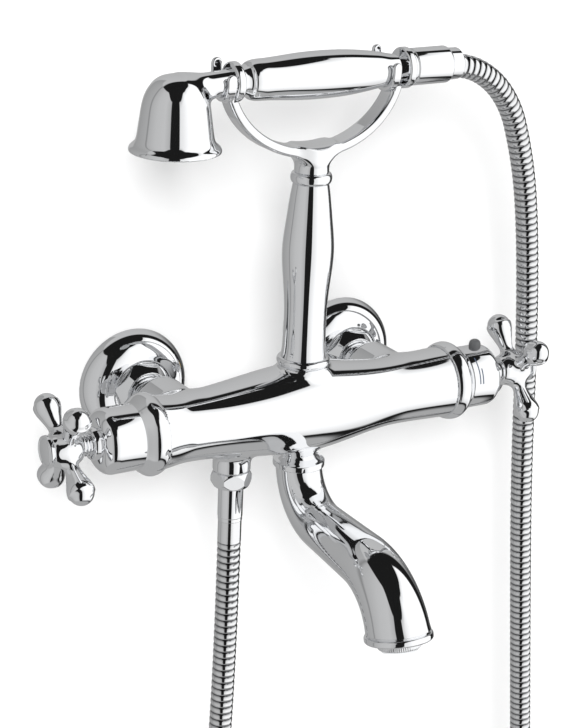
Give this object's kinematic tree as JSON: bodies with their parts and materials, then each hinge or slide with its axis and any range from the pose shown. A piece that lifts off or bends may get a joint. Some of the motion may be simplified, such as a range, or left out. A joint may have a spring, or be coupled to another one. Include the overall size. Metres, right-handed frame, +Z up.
{
  "type": "thermostatic bath mixer",
  "caption": "Wall-mounted thermostatic bath mixer with cross handles, swivel spout, hose and a hand shower resting in a fork above the bar.",
  "frame": {"origin": "On the wall's surface, halfway between the centres of the two inlets, 150 mm apart.", "axes": "X runs along the bar, with the temperature handle at +X; +Y points into the wall; +Z is up."},
  "size_m": [0.3888, 0.2307, 0.8158],
  "materials": {
    "chrome": "polished",
    "brass": "machined",
    "steel": "brushed",
    "rubber": "matte",
    "ceramic": "polished",
    "grey_plastic": "satin",
    "white_plastic": "satin"
  },
  "bodies": {
    "mixer": {"valve_body": "chrome", "wall_union_left": "brass", "wall_union_right": "brass", "union_nut_left": "chrome", "union_nut_right": "chrome", "wall_flange_left": "chrome", "wall_flange_right": "chrome", "check_valve_housings": "white_plastic", "check_valve_spring_left": "steel", "check_valve_spring_right": "steel", "inlet_washers": "rubber", "bead_ring_left": "chrome", "bead_ring_right": "chrome", "flow_headwork": "brass", "flow_disc_fixed": "ceramic", "left_bell_cover": "chrome", "cover_screw": "steel", "thermostat_housing": "brass", "return_spring": "steel", "stop_ring": "white_plastic", "column": "chrome", "column_studs": "brass", "column_bead": "chrome", "fork": "chrome", "spout_collar": "chrome", "hose_lower_nut": "chrome", "hose_lower_washer": "rubber", "hose_lower_ferrule": "chrome", "shower_hose": "chrome"},
    "flow_handle": {"flow_disc_turning": "ceramic", "flow_spindle": "brass", "flow_cross": "chrome", "flow_stem": "chrome", "flow_cap": "chrome", "flow_screw": "steel"},
    "temperature_handle": {"temperature_adjuster": "brass", "temperature_sleeve": "chrome", "temperature_cross": "chrome", "temperature_cap": "chrome", "temperature_screw": "steel", "button_spring": "steel"},
    "safety_button": {"stop_button": "grey_plastic"},
    "regulator": {"regulating_shuttle": "grey_plastic", "wax_element": "brass", "overtravel_capsule": "grey_plastic"},
    "swivel_spout": {"spout": "chrome", "spout_seals": "rubber", "aerator_housing": "chrome", "aerator_core": "white_plastic"},
    "poppet_left": {"check_valve_poppet_left": "grey_plastic"},
    "poppet_right": {"check_valve_poppet_right": "grey_plastic"},
    "hand_shower": {"shower_bell": "chrome", "spray_plate": "chrome", "spray_seal": "rubber", "spray_screw": "steel", "shower_ring": "chrome", "shower_grip": "chrome", "core_tube": "brass", "hose_upper_nut": "chrome", "hose_upper_washer": "rubber"}
  },
  "joints": [
    {"name": "flow_handle_turn", "type": "hinge", "parent": "mixer", "child": "flow_handle", "pos_m": [-0.1565, -0.078, 0], "axis": [1, 0, 0], "range_deg": [-90, 90]},
    {"name": "temperature_turn", "type": "hinge", "parent": "mixer", "child": "temperature_handle", "pos_m": [0.159, -0.078, 0], "axis": [1, 0, 0], "range_deg": [-180, 90]},
    {"name": "regulator_slide", "type": "slide", "parent": "mixer", "child": "regulator", "axis": [1, 0, 0], "range_m": [-0.0008, 0.0004]},
    {"name": "stop_button_press", "type": "slide", "parent": "temperature_handle", "child": "safety_button", "axis": [0, 0, 1], "range_m": [-0.0015, 0], "stiffness_N_per_m": 600, "springref_m": 0.002},
    {"name": "spout_swivel", "type": "hinge", "parent": "mixer", "child": "swivel_spout", "pos_m": [0, -0.078, -0.03], "axis": [0, 0, 1], "range_deg": [-50, 50]},
    {"name": "handset_lift", "type": "slide", "parent": "mixer", "child": "hand_shower", "axis": [0, 0, 1], "range_m": [0, 0.06], "deforming": ["shower_hose"]},
    {"name": "left_valve_opening", "type": "slide", "parent": "mixer", "child": "poppet_left", "axis": [0, -1, 0], "range_m": [0, 0.003], "stiffness_N_per_m": 100, "springref_m": -0.002},
    {"name": "right_valve_opening", "type": "slide", "parent": "mixer", "child": "poppet_right", "axis": [0, -1, 0], "range_m": [0, 0.003], "stiffness_N_per_m": 100, "springref_m": -0.002}
  ],
  "couplings": [
    {"joint": "regulator_slide", "follows": "temperature_turn", "m_per_rad": 0.00023873}
  ]
}
